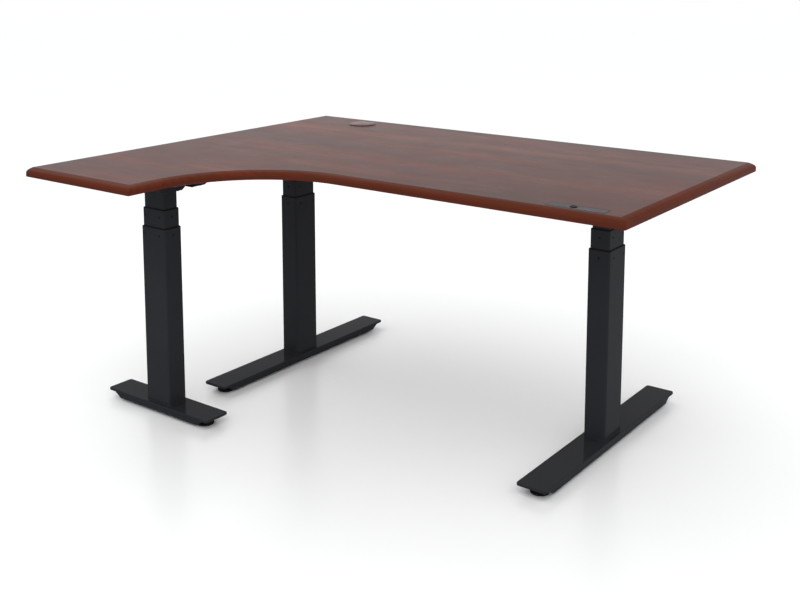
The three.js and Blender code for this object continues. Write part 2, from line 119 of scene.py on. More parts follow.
class Graph:
    """Short calls for building one material's node tree."""

    def __init__(self, name):
        self.material, self.shader = new_material(name)
        self.tree = self.material.node_tree
        self.place = self.add("ShaderNodeTexCoord").outputs["Object"]

    def add(self, kind, **settings):
        node = self.tree.nodes.new(kind)
        for key, value in settings.items():
            setattr(node, key, value)
        return node

    def link(self, source, target):
        if isinstance(source, (int, float, tuple)):
            target.default_value = source
        else:
            self.tree.links.new(source, target)

    def stretched(self, scale, source=None, offset=(0, 0, 0)):
        node = self.add("ShaderNodeMapping")
        node.inputs["Scale"].default_value = scale
        node.inputs["Location"].default_value = offset
        self.link(source or self.place, node.inputs["Vector"])
        return node.outputs["Vector"]

    def noise(self, vector, scale=1.0, detail=3.0, rough=0.55, distortion=0.0):
        node = self.add("ShaderNodeTexNoise")
        node.inputs["Scale"].default_value = scale
        node.inputs["Detail"].default_value = detail
        node.inputs["Roughness"].default_value = rough
        node.inputs["Distortion"].default_value = distortion
        self.link(vector, node.inputs["Vector"])
        return node.outputs["Fac"]

    def remap(self, value, low, high, to_low=0.0, to_high=1.0):
        node = self.add("ShaderNodeMapRange")
        for index, number in enumerate((low, high, to_low, to_high), start=1):
            node.inputs[index].default_value = number
        self.link(value, node.inputs[0])
        return node.outputs[0]

    def math(self, operation, a, b=0.0):
        node = self.add("ShaderNodeMath", operation=operation)
        self.link(a, node.inputs[0])
        self.link(b, node.inputs[1])
        return node.outputs[0]

    def mix(self, factor, a, b):
        node = self.add("ShaderNodeMix", data_type="RGBA")
        self.link(factor, node.inputs["Factor"])
        self.link(a, node.inputs[6])
        self.link(b, node.inputs[7])
        return node.outputs[2]

    def ramp(self, value, *stops):
        node = self.add("ShaderNodeValToRGB")
        elements = node.color_ramp.elements
        while len(elements) < len(stops):
            elements.new(0.5)
        for element, (position, color) in zip(elements, stops):
            element.position = position
            element.color = (*color, 1)
        self.link(value, node.inputs["Fac"])
        return node.outputs["Color"]

    def bump(self, height, distance, strength, normal=None):
        node = self.add("ShaderNodeBump")
        node.inputs["Strength"].default_value = strength
        node.inputs["Distance"].default_value = distance
        self.link(height, node.inputs["Height"])
        if normal:
            self.link(normal, node.inputs["Normal"])
        return node.outputs["Normal"]

    def finish(self, color, roughness, normal, **fixed):
        for key, source in (("Base Color", color), ("Roughness", roughness), ("Normal", normal)):
            self.link(source, self.shader.inputs[key])
        for key, number in fixed.items():
            self.shader.inputs[key.replace("_", " ")].default_value = number
        return self.material


# ---------- finishes ----------
def powder_coat():
    """Satin black powder coat: fine orange peel, faint cloudiness and a little dust."""
    g = Graph("powder_coat")
    peel = g.noise(g.place, scale=900, detail=2)
    swell = g.noise(g.place, scale=240, detail=1)
    cloud = g.noise(g.place, scale=6, detail=4)
    speck = g.remap(g.noise(g.place, scale=1600, detail=1), 0.62, 0.75)
    color = g.mix(cloud, (0.0195, 0.0205, 0.0235, 1), (0.0250, 0.0262, 0.0298, 1))
    color = g.mix(g.math("MULTIPLY", speck, 0.30), color, (0.04, 0.042, 0.046, 1))
    roughness = g.remap(cloud, 0.3, 0.7, 0.11, 0.17)
    normal = g.bump(swell, 0.00010, 0.25)
    normal = g.bump(peel, 0.00008, 0.30, normal)
    return g.finish(color, roughness, normal, Specular_IOR_Level=0.014)


def wood_laminate():
    """Cherry laminate: long soft bands and a swirl along X, fine pores, satin sheen, with painted shade on
    the upright edge band and along the back and left edges.
    """
    g = Graph("wood_laminate")
    wander = g.noise(g.stretched((1.3, 3.2, 3.2)), detail=1, rough=0.5)
    shift = g.math("MULTIPLY", g.math("SUBTRACT", wander, 0.5), 0.08)
    swirl_at = g.add("ShaderNodeVectorMath", operation="DISTANCE")
    g.link(g.stretched((1.0, 1.35, 0.0)), swirl_at.inputs[0])
    swirl_at.inputs[1].default_value = (-0.62, -0.31, 0)
    swirl = g.remap(swirl_at.outputs["Value"], 0.22, 0.0, 0.0, 0.24)
    split = g.add("ShaderNodeSeparateXYZ")
    g.link(g.place, split.inputs[0])
    across = g.math("ADD", g.math("ADD", split.outputs["Y"], shift), swirl)
    bent = g.add("ShaderNodeCombineXYZ")
    g.link(split.outputs["X"], bent.inputs["X"])
    g.link(across, bent.inputs["Y"])
    g.link(split.outputs["Z"], bent.inputs["Z"])
    path = bent.outputs[0]
    broad = g.noise(g.stretched((0.9, 7.0, 3.0), path, (2.2, 0.4, 0)), detail=3, rough=0.5)
    bands = g.noise(g.stretched((1.8, 34.0, 20.0), path, (3.7, 1.3, 0)), detail=3, rough=0.55)
    drift = g.stretched((5.5, 30.0, 20.0), path, (9.1, 4.4, 0))
    smoke = g.noise(drift, detail=2, rough=0.45, distortion=0.3)
    streaks = g.noise(g.stretched((5.0, 85.0, 85.0)), detail=2, rough=0.5)
    pores = g.noise(g.stretched((45.0, 420.0, 420.0)), detail=1, rough=0.5)
    mottle = g.noise(g.stretched((11.0, 16.0, 16.0)), detail=3, rough=0.6)
    base = g.ramp(
        broad,
        (0.34, (0.060, 0.0190, 0.0150)),
        (0.46, (0.080, 0.0195, 0.0130)),
        (0.58, (0.108, 0.0220, 0.0120)),
        (0.70, (0.130, 0.0260, 0.0130)),
    )
    base = g.mix(g.remap(bands, 0.42, 0.64, 0.0, 0.40), base, (0.060, 0.0180, 0.0125, 1))
    heart = g.math("ABSOLUTE", g.math("SUBTRACT", across, 0.385))
    base = g.mix(g.remap(heart, 0.045, 0.010, 0.0, 0.45), base, (0.170, 0.0430, 0.0240, 1))
    eye = g.remap(swirl_at.outputs["Value"], 0.24, 0.10, 0.0, 0.50)
    base = g.mix(eye, base, (0.056, 0.0130, 0.0110, 1))
    base = g.mix(g.remap(smoke, 0.54, 0.80, 0.0, 0.55), base, (0.034, 0.0125, 0.0105, 1))
    base = g.mix(g.remap(streaks, 0.46, 0.72, 0.0, 0.40), base, (0.040, 0.0120, 0.0090, 1))
    base = g.mix(g.remap(mottle, 0.50, 0.75, 0.0, 0.16), base, (0.120, 0.0330, 0.0180, 1))
    base = g.mix(g.remap(pores, 0.55, 0.75, 0.0, 0.16), base, (0.028, 0.0090, 0.0065, 1))
    height = split.outputs["Z"]
    rolled = g.remap(height, SURFACE - 0.00010, SURFACE - 0.00002, 1.0, 0.0)
    # painted shade: the upright band below the rounding is darkened toward a dull brown, standing in for the
    # shade that band gets from the light above
    upright_shade = g.remap(height, SURFACE - 0.0128, SURFACE - 0.0116, 1.0, 0.0)
    base = g.mix(g.math("MULTIPLY", rolled, 0.70), base, (0.102, 0.0220, 0.0090, 1))
    base = g.mix(g.math("MULTIPLY", upright_shade, 0.60), base, (0.066, 0.0190, 0.0145, 1))
    base = g.mix(g.remap(streaks, 0.45, 0.75, 0.0, 0.30), base, (0.045, 0.0120, 0.0075, 1))
    # painted shade: a thin near-black line along the square back and left edges, standing in for the dark
    # line that shading gives at those edges
    back = g.remap(split.outputs["Y"], BACK - 0.0016, BACK - 0.0010)
    left = g.remap(split.outputs["X"], LEFT + 0.0016, LEFT + 0.0010)
    base = g.mix(g.math("MULTIPLY", g.math("MAXIMUM", back, left), 0.8), base, (0.020, 0.0060, 0.0045, 1))
    roughness = g.remap(mottle, 0.3, 0.7, 0.27, 0.31)
    roughness = g.math("SUBTRACT", roughness, g.math("MULTIPLY", rolled, 0.07))
    g.link(g.remap(rolled, 0.0, 1.0, 0.028, 0.012), g.shader.inputs["Specular IOR Level"])
    normal = g.bump(streaks, 0.00001, 0.1)
    return g.finish(base, roughness, normal)


def black_plastic():
    g = Graph("black_plastic")
    grain = g.noise(g.place, scale=1400, detail=2)
    cloud = g.noise(g.place, scale=30, detail=3)
    color = g.mix(cloud, (0.0030, 0.0030, 0.0035, 1), (0.0060, 0.0060, 0.0068, 1))
    roughness = g.remap(cloud, 0.3, 0.7, 0.38, 0.50)
    normal = g.bump(grain, 0.0001, 0.4)
    return g.finish(color, roughness, normal, Specular_IOR_Level=0.06)


def brown_plastic():
    g = Graph("brown_plastic")
    grain = g.noise(g.place, scale=1500, detail=2)
    cloud = g.noise(g.place, scale=40, detail=3)
    color = g.mix(cloud, (0.075, 0.0360, 0.0350, 1), (0.100, 0.0500, 0.0480, 1))
    roughness = g.remap(cloud, 0.3, 0.7, 0.30, 0.40)
    normal = g.bump(grain, 0.00008, 0.35)
    return g.finish(color, roughness, normal, Specular_IOR_Level=0.25)


def grey_plastic():
    g = Graph("grey_plastic")
    grain = g.noise(g.place, scale=1700, detail=2)
    brush = g.noise(g.stretched((12, 900, 900)), detail=2)
    color = g.mix(brush, (0.078, 0.073, 0.078, 1), (0.096, 0.089, 0.096, 1))
    roughness = g.remap(brush, 0.3, 0.7, 0.38, 0.50)
    normal = g.bump(grain, 0.00003, 0.2)
    return g.finish(color, roughness, normal, Specular_IOR_Level=0.045)


def bare_steel():
    g = Graph("bare_steel")
    ridge = g.add("ShaderNodeTexWave", bands_direction="Z", wave_profile="SIN")
    ridge.inputs["Scale"].default_value = 80
    g.link(g.place, ridge.inputs["Vector"])
    smear = g.noise(g.place, scale=120, detail=4)
    color = g.mix(smear, (0.40, 0.41, 0.42, 1), (0.60, 0.60, 0.60, 1))
    normal = g.bump(ridge.outputs["Fac"], 0.0004, 0.5)
    roughness = g.remap(smear, 0.3, 0.7, 0.22, 0.42)
    return g.finish(color, roughness, normal, Metallic=1.0)


def pad_rubber():
    g = Graph("pad_rubber")
    grain = g.noise(g.place, scale=800, detail=3)
    dust = g.remap(g.noise(g.place, scale=90, detail=4), 0.55, 0.75)
    color = g.mix(g.math("MULTIPLY", dust, 0.25), (0.006, 0.006, 0.006, 1), (0.05, 0.048, 0.045, 1))
    roughness = g.remap(grain, 0.3, 0.7, 0.70, 0.88)
    normal = g.bump(grain, 0.0002, 0.5)
    return g.finish(color, roughness, normal, Specular_IOR_Level=0.3)


def motor_housing():
    g = Graph("motor_housing")
    cast = g.noise(g.place, scale=500, detail=3)
    cloud = g.noise(g.place, scale=25, detail=3)
    color = g.mix(cloud, (0.010, 0.0105, 0.012, 1), (0.019, 0.020, 0.022, 1))
    roughness = g.remap(cloud, 0.3, 0.7, 0.42, 0.55)
    normal = g.bump(cast, 0.0003, 0.5)
    return g.finish(color, roughness, normal, Specular_IOR_Level=0.06)


def cable_sheath():
    g = Graph("cable_sheath")
    grain = g.noise(g.place, scale=700, detail=2)
    color = g.mix(grain, (0.005, 0.005, 0.005, 1), (0.012, 0.012, 0.012, 1))
    roughness = g.remap(grain, 0.3, 0.7, 0.45, 0.58)
    normal = g.bump(grain, 0.0001, 0.3)
    return g.finish(color, roughness, normal, Specular_IOR_Level=0.4)


FINISH = {
    maker.__name__: maker()
    for maker in (
        powder_coat, wood_laminate, black_plastic, brown_plastic, grey_plastic,
        bare_steel, pad_rubber, motor_housing, cable_sheath,
    )
}


NODE_FINISHES = {
    "_screw": "bare_steel",
    "_drive_tube": "bare_steel",
    "_glide": "black_plastic",
    "_pad_a": "pad_rubber",
    "_pad_b": "pad_rubber",
    "_motor": "motor_housing",
    "_lead": "cable_sheath",
    "desktop": "wood_laminate",
    "grommet_ring": "brown_plastic",
    "grommet_cap": "brown_plastic",
    "control_plate": "grey_plastic",
    "control_housing": "black_plastic",
    "rocker_button": "black_plastic",
    "control_box": "black_plastic",
    "power_inlet": "black_plastic",
}


def node_finish(name):
    """The finish of a CAD node, by what kind of part it is."""
    for ending, finish in NODE_FINISHES.items():
        if name.endswith(ending):
            return finish
    return "powder_coat"


# ---------- mesh helpers ----------
def bridge(bm, lower, upper):
    """Joins two rings of vertices; a ring of one vertex is a tip."""
    count = max(len(lower), len(upper))
    for i in range(count):
        j = (i + 1) % count
        if len(lower) == 1:
            bm.faces.new((lower[0], upper[j], upper[i]))
        elif len(upper) == 1:
            bm.faces.new((lower[i], lower[j], upper[0]))
        else:
            bm.faces.new((lower[i], lower[j], upper[j], upper[i]))


def loft(bm, rings, closed=False):
    """Skins rings of points into a solid, capped at both ends or closed on itself."""
    made = [[bm.verts.new(point) for point in ring] for ring in rings]
    for lower, upper in zip(made, made[1:]):
        bridge(bm, lower, upper)
    if closed:
        bridge(bm, made[-1], made[0])
        return
    for end in (made[0], made[-1]):
        if len(end) > 2:
            bm.faces.new(end)


def rounded_ring(width, depth, radius, z):
    steps = 6
    ring = []
    for quarter, (sx, sy) in enumerate(((1, 1), (-1, 1), (-1, -1), (1, -1))):
        for step in range(steps + 1):
            angle = math.pi / 2 * (quarter + step / steps)
            x = sx * (width / 2 - radius) + radius * math.cos(angle)
            y = sy * (depth / 2 - radius) + radius * math.sin(angle)
            ring.append((x, y, z))
    return ring


def circle_ring(radius, z, sides):
    if radius == 0:
        return [(0, 0, z)]
    turn = 2 * math.pi / sides
    return [(radius * math.cos(turn * i), radius * math.sin(turn * i), z) for i in range(sides)]


def turned(bm, profile, sides, place=Matrix()):
    """A solid of revolution about Z from (radius, height) pairs, then moved to its place."""
    start = len(bm.verts)
    closed = profile[0][0] > 0 and profile[-1][0] > 0
    loft(bm, [circle_ring(radius, z, sides) for radius, z in profile], closed)
    bm.verts.ensure_lookup_table()
    bmesh.ops.transform(bm, matrix=place, verts=bm.verts[start:])


def rounded_slab(bm, width, depth, radius, z0, z1, bevel, place=Matrix(), steps=3):
    """A plate with rounded corners and rounded upper and lower edges."""
    rings = []
    for z, sign in ((z0, 1), (z1, -1)):
        arc = []
        for step in range(steps + 1):
            angle = math.pi / 2 * step / steps
            inset = bevel * (1 - math.sin(angle))
            height = z + sign * bevel * (1 - math.cos(angle))
            arc.append(rounded_ring(width - 2 * inset, depth - 2 * inset, radius - inset, height))
        rings += arc if sign > 0 else arc[::-1]
    start = len(bm.verts)
    loft(bm, rings)
    bm.verts.ensure_lookup_table()
    bmesh.ops.transform(bm, matrix=place, verts=bm.verts[start:])


def collar(bm, width, depth, radius, profile):
    """A rectangular ring around Z from a closed loop of (inset from the outside, height) pairs."""
    rings = [
        rounded_ring(width - 2 * inset, depth - 2 * inset, max(radius - inset, 0.0004), z)
        for inset, z in profile
    ]
    loft(bm, rings, closed=True)


def as_object(bm, name):
    bmesh.ops.recalc_face_normals(bm, faces=bm.faces)
    mesh = bpy.data.meshes.new(name)
    bm.to_mesh(mesh)
    bm.free()
    obj = bpy.data.objects.new(name, mesh)
    scene.collection.objects.link(obj)
    return obj


def applied(obj):
    """The object's mesh with its modifiers applied, as a new bmesh; the object is removed."""
    result = bmesh.new()
    bpy.context.view_layer.update()
    result.from_object(obj, bpy.context.evaluated_depsgraph_get())
    bpy.data.objects.remove(obj)
    return result


def carve(bm, tool):
    """bm with the tool's solid cut out of it."""
    body, cutter = as_object(bm, "body"), as_object(tool, "cutter")
    modifier = body.modifiers.new("cut", "BOOLEAN")
    modifier.object = cutter
    modifier.operation = "DIFFERENCE"
    result = applied(body)
    bpy.data.objects.remove(cutter)
    return result


def refined(node, width, segments=2):
    """The CAD node's shape with its sharp edges rounded."""
    bm = bmesh.new()
    bm.from_mesh(nodes[node].data)
    bmesh.ops.remove_doubles(bm, verts=bm.verts, dist=1e-6)
    bmesh.ops.dissolve_limit(bm, angle_limit=math.radians(1), verts=bm.verts, edges=bm.edges)
    limit = math.radians(25)
    sharp = [edge for edge in bm.edges if edge.is_manifold and edge.calc_face_angle(0) > limit]
    bmesh.ops.bevel(bm, geom=sharp, offset=width, segments=segments, affect="EDGES", clamp_overlap=True)
    return bm


def piece(name, bm, finish, body, replaces=(), sharp=32):
    """Turns bm into a shown piece that rides on a CAD body."""
    limit = math.radians(sharp)
    bmesh.ops.recalc_face_normals(bm, faces=bm.faces)
    for edge in bm.edges:
        edge.smooth = edge.is_manifold and edge.calc_face_angle(0) < limit
    for face in bm.faces:
        face.smooth = True
    obj = as_object(bm, name)
    obj.data.materials.append(FINISH[finish])
    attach(obj, body)
    if replaces:
        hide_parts(*replaces)
    shading = obj.modifiers.new("even shading", "WEIGHTED_NORMAL")
    shading.keep_sharp = True
    return obj


def aimed(point, direction):
    """A matrix that takes +Z to the direction, at the point."""
    turn = Vector(direction).to_track_quat("Z", "Y").to_matrix().to_4x4()
    return Matrix.Translation(point) @ turn


def screw_head(bm, point, direction, radius, height):
    """A pan head with a hexagonal socket."""
    socket = radius * 0.5
    profile = [
        (0, 0), (radius, 0), (radius, height * 0.45), (radius * 0.86, height * 0.85),
        (radius * 0.6, height), (socket, height), (socket * 0.96, height * 0.35), (0, height * 0.3),
    ]
    turned(bm, profile, 18, aimed(point, direction))


def middle_of(node):
    low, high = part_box(node)
    return (low + high) / 2


# ---------- desktop ----------
def desktop_ring(inset, z):
    """The L outline at one height, drawn in by inset; the back and left edges stay square."""
    low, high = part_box("desktop")
    radius = INNER_RADIUS
    inner = low.x + WING_WIDTH
    front = high.y - MAIN_DEPTH
    ring = [(low.x, low.y + inset, z), (inner - inset, low.y + inset, z)]
    steps = 56
    for step in range(steps + 1):
        angle = math.pi - math.pi / 2 * step / steps
        reach = radius + inset
        ring.append((inner + radius + reach * math.cos(angle), front - radius + reach * math.sin(angle), z))
    return ring + [(high.x - inset, front + inset, z), (high.x - inset, high.y, z), (low.x, high.y, z)]


def make_desktop():
    run, fall = 0.022, 0.012
    ease = 0.0022
    rings = [desktop_ring(ease, UNDERSIDE), desktop_ring(ease * 0.3, UNDERSIDE + ease * 0.3)]
    rings.append(desktop_ring(0, UNDERSIDE + ease))
    steps = 9
    for step in range(steps + 1):
        t = step / steps
        inset = run * t ** 3 + 3 * run * 0.45 * t ** 2 * (1 - t)
        drop = fall * (1 - t) ** 3 + 3 * fall * 0.45 * (1 - t) ** 2 * t + 3 * 0.0024 * (1 - t) * t ** 2
        rings.append(desktop_ring(inset, SURFACE - drop))
    bm = bmesh.new()
    loft(bm, rings)
    ring = middle_of("grommet_ring")
    below, above = UNDERSIDE - 0.01, SURFACE + 0.01
    hole = [(0, below), (GROMMET_HOLE, below), (GROMMET_HOLE, above), (0, above)]
    tool = bmesh.new()
    turned(tool, hole, 72, Matrix.Translation((ring.x, ring.y, 0)))
    bm = carve(bm, tool)
    slab = piece("desktop_slab", bm, "wood_laminate", "top", ["desktop"], sharp=40)
    points = slab.data.vertices
    for edge in slab.data.edges:
        if all(points[i].co.z > SURFACE - 0.00001 for i in edge.vertices):
            edge.use_edge_sharp = True


# ---------- legs ----------
def leg_place(side, axis=LONG_AXIS):
    centre = middle_of(f"{side}_outer_tube")
    return Matrix.Translation((centre.x, centre.y, 0)) @ Matrix.Rotation(axis[side], 4, "Z")


def leg_size(side, node):
    """(width, depth, bottom, top) of a node in its leg's own frame."""
    low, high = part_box(f"{side}_{node}")
    size = high - low
    across = (size.y, size.x) if side == "left" else (size.x, size.y)
    return *across, low.z, high.z


def pin_cutter(width, depth, z, radius):
    """Rods that cut the pins' holes through a tube: two along X and one along Y."""
    tool = bmesh.new()
    rod = [(0, -width), (radius, -width), (radius, width), (0, width)]
    for offset in PIN_OFFSETS:
        turned(tool, rod, 20, aimed((0, offset, z), (1, 0, 0)))
    rod = [(0, -depth), (radius, -depth), (radius, depth), (0, depth)]
    turned(tool, rod, 20, aimed((0, 0, z), (0, 1, 0)))
    return tool


def make_tube(side, node, radius, body, holes):
    width, depth, bottom, top = leg_size(side, node)
    edge = 0.0004
    wall = TUBE_WALL
    bm = bmesh.new()
    collar(bm, width, depth, radius, [
        (edge, bottom), (0, bottom + edge), (0, top - edge), (edge, top),
        (wall - edge, top), (wall, top - edge), (wall, bottom + edge), (wall - edge, bottom),
    ])
    if holes:
        bm = carve(bm, pin_cutter(width, depth, top - PIN_DROP, 0.0026))
    bm.transform(leg_place(side))
    piece(f"{side}_{node}_shell", bm, "powder_coat", body, [f"{side}_{node}"])


def make_glide(side, node, tube, guided, body):
    """Plastic collar in a tube's end, with the snap pins that show through the tube's wall."""
    width, depth, _, top = leg_size(side, tube)
    bore = (width - leg_size(side, guided)[0]) / 2 - 0.0003
    lip = 0.0004
    rim = top + 0.0016
    bm = bmesh.new()
    collar(bm, width, depth, 0.0045, [
        (0.0002, top + 0.0003), (0.0002, rim - lip), (0.0002 + lip, rim),
        (bore - lip, rim), (bore, rim - lip),
        (bore, top - 0.0395), (bore - lip, top - 0.040), (0.0019, top - 0.040), (0.0019, top + 0.0003),
    ])
    z = top - PIN_DROP
    pin = [(0, -0.0008), (0.0019, -0.0008), (0.0019, 0.0), (0.0014, 0.0004), (0, 0.00045)]
    for sign in (-1, 1):
        for offset in PIN_OFFSETS:
            turned(bm, pin, 18, aimed((sign * (width / 2 - 0.0020), offset, z), (sign, 0, 0)))
        turned(bm, pin, 18, aimed((0, sign * (depth / 2 - 0.0020), z), (0, sign, 0)))
    bm.transform(leg_place(side))
    piece(f"{side}_{node}_collar", bm, "black_plastic", body, [f"{side}_{node}"])


def make_foot(side):
    width, length, bottom, top = leg_size(side, "foot")
    place = leg_place(side)
    body = f"{side}_base"
    plate_bottom = top - 0.007
    bm = bmesh.new()
    rounded_slab(bm, width, length, 0.0075, plate_bottom, top, 0.0012)
    tube_width, tube_depth = leg_size(side, "outer_tube")[:2]
    bead = 0.0015
    collar(bm, tube_width, tube_depth, 0.005, [
        (0, top), (-bead, top), (-bead * 0.75, top + bead * 0.28),
        (-bead * 0.28, top + bead * 0.75), (0, top + bead),
    ])
    bm.transform(place)
    piece(f"{side}_foot_plate", bm, "powder_coat", body, [f"{side}_foot"])
    channel = 0.074
    wall = 0.003
    upper = length - 2 * 0.018
    lower = upper - 2 * 0.025
    low = bottom
    bend = 0.0008
    bm = bmesh.new()
    loft(bm, [
        rounded_ring(channel, upper, 0.004, plate_bottom),
        rounded_ring(channel, lower + bend, 0.004, low + bend),
        rounded_ring(channel - 2 * bend, lower - 2 * bend, 0.0035, low),
        rounded_ring(channel - 2 * wall + bend, lower - 3 * wall + bend, 0.002, low),
        rounded_ring(channel - 2 * wall, lower - 3 * wall, 0.002, low + bend),
        rounded_ring(channel - 2 * wall, upper - 3 * wall, 0.002, plate_bottom - 0.0006),
    ])
    bm.transform(place)
    piece(f"{side}_foot_channel", bm, "powder_coat", body)


def make_pad(side, end):
    """Levelling pad: ribbed rubber base, hexagonal steel nut and threaded stud."""
    node = f"{side}_pad_{end}"
    low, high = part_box(node)
    centre = (low + high) / 2
    radius = (high.x - low.x) / 2
    place = Matrix.Translation((centre.x, centre.y, 0))
    bm = bmesh.new()
    turned(bm, [
        (0, 0.0005), (radius * 0.55, 0.0005), (radius * 0.6, 0),
        (radius - 0.0018, 0), (radius - 0.0004, 0.0006),
        (radius, 0.0018), (radius - 0.0007, 0.0026), (radius, 0.0034), (radius - 0.0003, 0.0044),
        (radius - 0.0026, 0.0056), (0.009, 0.0064), (0, 0.0064),
    ], 48, place)
    body = f"{side}_pad_{end}"
    piece(f"{node}_base", bm, "pad_rubber", body, [node])
    bm = bmesh.new()
    nut = 0.0075
    turned(bm, [(0, 0.0062), (nut, 0.0062), (nut, 0.0105), (nut * 0.88, 0.0112), (0, 0.0112)], 6, place)
    stud = []
    pitch = 0.0012
    z = 0.0112
    while z < high.z - pitch:
        stud += [(0.0034, z), (0.0040, z + pitch / 2)]
        z += pitch
    turned(bm, [(0, 0.0108)] + stud + [(0.0034, z), (0, z)], 20, place)
    piece(f"{node}_stud", bm, "bare_steel", body)


def make_head(side):
    """Folded bracket between the column and the desktop, its bolts, and the motor beside it."""
    place = leg_place(side, MOTOR_AXIS)
    bracket = f"{side}_head_bracket"
    motor = f"{side}_motor"
    low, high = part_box(bracket)
    half = (high.x - low.x if side == "left" else high.y - low.y) / 2
    piece(f"{bracket}_folded", refined(bracket, 0.0009), "powder_coat", "top", [bracket])
    piece(f"{motor}_case", refined(motor, 0.0022, 3), "motor_housing", "top", [motor])
    base = low.z
    bolts = bmesh.new()
    for x in (-0.021, 0.021):
        for y in (-half + 0.006, half - 0.006):
            screw_head(bolts, (x, y, base), (0, 0, -1), 0.0036, 0.0018)
    flange = base + 0.001
    for x in (0.078, 0.108):
        for y in (-0.0415, 0.0415):
            screw_head(bolts, (x, y, flange), (0, 0, -1), 0.0042, 0.0022)
    bolts.transform(place)
    piece(f"{side}_head_bolts", bolts, "powder_coat", "top")
    cap = bmesh.new()
    nose = 0.146
    axis_height = base + 0.040
    turned(cap, [
        (0, 0), (0.021, 0), (0.021, 0.0012), (0.0198, 0.0019), (0.0150, 0.0019),
        (0.0144, 0.0012), (0.0060, 0.0012), (0.0052, 0.0004), (0, 0.0004),
    ], 40, aimed((nose - 0.0006, 0, axis_height), (1, 0, 0)))
    for step in range(3):
        angle = math.pi * (1 / 2 + 2 / 3 * step)
        y, z = 0.0175 * math.cos(angle), 0.0175 * math.sin(angle)
        screw_head(cap, (nose + 0.0011, y, axis_height + z), (1, 0, 0), 0.0022, 0.0010)
    cap.transform(place)
    piece(f"{side}_motor_cap", cap, "black_plastic", "top")
    ribs = bmesh.new()
    for step in range(9):
        x = 0.060 + step * 0.0085
        for sign in (-1, 1):
            middle = Matrix.Translation((x, sign * 0.0302, base + 0.036))
            rounded_slab(ribs, 0.0022, 0.0016, 0.0006, -0.012, 0.012, 0.0005, middle, 2)
    ribs.transform(place)
    piece(f"{side}_motor_ribs", ribs, "motor_housing", "top")


def make_legs():
    for side in LEGS:
        make_foot(side)
        for end in "ab":
            make_pad(side, end)
        make_tube(side, "outer_tube", 0.005, f"{side}_base", True)
        make_tube(side, "middle_tube", 0.0042, f"{side}_middle", True)
        make_tube(side, "inner_tube", 0.0035, "top", False)
        make_glide(side, "outer_glide", "outer_tube", "middle_tube", f"{side}_base")
        make_glide(side, "middle_glide", "middle_tube", "inner_tube", f"{side}_middle")
        make_head(side)


# ---------- frame under the desktop ----------
def make_crossbars():
    for name in ("main_front", "main_rear", "return_inner", "return_outer"):
        node = f"{name}_crossbar"
        low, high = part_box(node)
        piece(f"{node}_tube", refined(node, 0.0008), "powder_coat", "top", [node])
        along_x = high.x - low.x > high.y - low.y
        centre = (low + high) / 2
        direction = Vector((1, 0, 0)) if along_x else Vector((0, 1, 0))
        half = (high.x - low.x if along_x else high.y - low.y) / 2
        plugs = bmesh.new()
        for sign in (-1, 1):
            place = aimed(centre + direction * sign * half, direction * sign)
            rounded_slab(plugs, 0.0136, 0.0216, 0.0008, -0.010, 0.0, 0.0004, place, 2)
            rounded_slab(plugs, 0.0176, 0.0256, 0.0020, 0.0001, 0.0022, 0.0007, place, 2)
        piece(f"{node}_plugs", plugs, "black_plastic", "top")


def make_rails():
    for side in LEGS:
        node = f"{side}_support_rail"
        low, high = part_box(node)
        piece(f"{node}_channel", refined(node, 0.0008), "powder_coat", "top", [node])
        centre = (low + high) / 2
        along = Vector((1, 0, 0)) if side == "left" else Vector((0, 1, 0))
        half = (high.x - low.x if side == "left" else high.y - low.y) / 2
        ceiling = high.z - 0.0025
        screws = bmesh.new()
        for step in (-0.85, -0.42, 0.42, 0.85):
            point = centre + along * half * step
            point.z = ceiling
            screw_head(screws, point, (0, 0, -1), 0.0048, 0.0026)
        piece(f"{node}_screws", screws, "bare_steel", "top")


def make_control_box():
    low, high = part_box("control_box")
    inlet_low, inlet_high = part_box("power_inlet")
    bm = refined("control_box", 0.0018, 3)
    slots = bmesh.new()
    count = 11
    centre = (low + high) / 2
    for step in range(count):
        x = centre.x + (step - (count - 1) / 2) * 0.0085
        place = Matrix.Translation((x, centre.y, low.z))
        rounded_slab(slots, 0.0032, 0.038, 0.0015, -0.004, 0.0022, 0.0004, place, 2)
    piece("control_box_case", carve(bm, slots), "black_plastic", "top", ["control_box"])
    trim = bmesh.new()
    frame_centre = (inlet_low + inlet_high) / 2
    place = aimed((frame_centre.x, inlet_high.y - 0.0012, frame_centre.z), (0, 1, 0))
    lip = [(0, 0), (0, 0.0012), (0.0006, 0.0017), (0.0022, 0.0017), (0.0022, 0)]
    collar(trim, 0.029, 0.035, 0.002, lip)
    trim.transform(place)
    piece("power_inlet_frame", trim, "black_plastic", "top")
    piece("power_inlet_socket", refined("power_inlet", 0.0004, 2), "black_plastic", "top", ["power_inlet"])
    screws = bmesh.new()
    for x in (low.x + 0.008, high.x - 0.008):
        for y in (centre.y - 0.02, centre.y + 0.02):
            screw_head(screws, (x, y, high.z - 0.003), (0, 0, -1), 0.0042, 0.0024)
    for x in (low.x + 0.027, high.x - 0.027):
        for y in (low.y + 0.010, high.y - 0.010):
            screw_head(screws, (x, y, low.z), (0, 0, -1), 0.0028, 0.0010)
    piece("control_box_screws", screws, "bare_steel", "top")


# ---------- leads ----------
def lead_point(node, x):
    """The middle of a lead at the given X."""
    near = [v.co for v in nodes[node].data.vertices if abs(v.co.x - x) < LEAD_WINDOW]
    return sum(near, Vector()) / len(near)


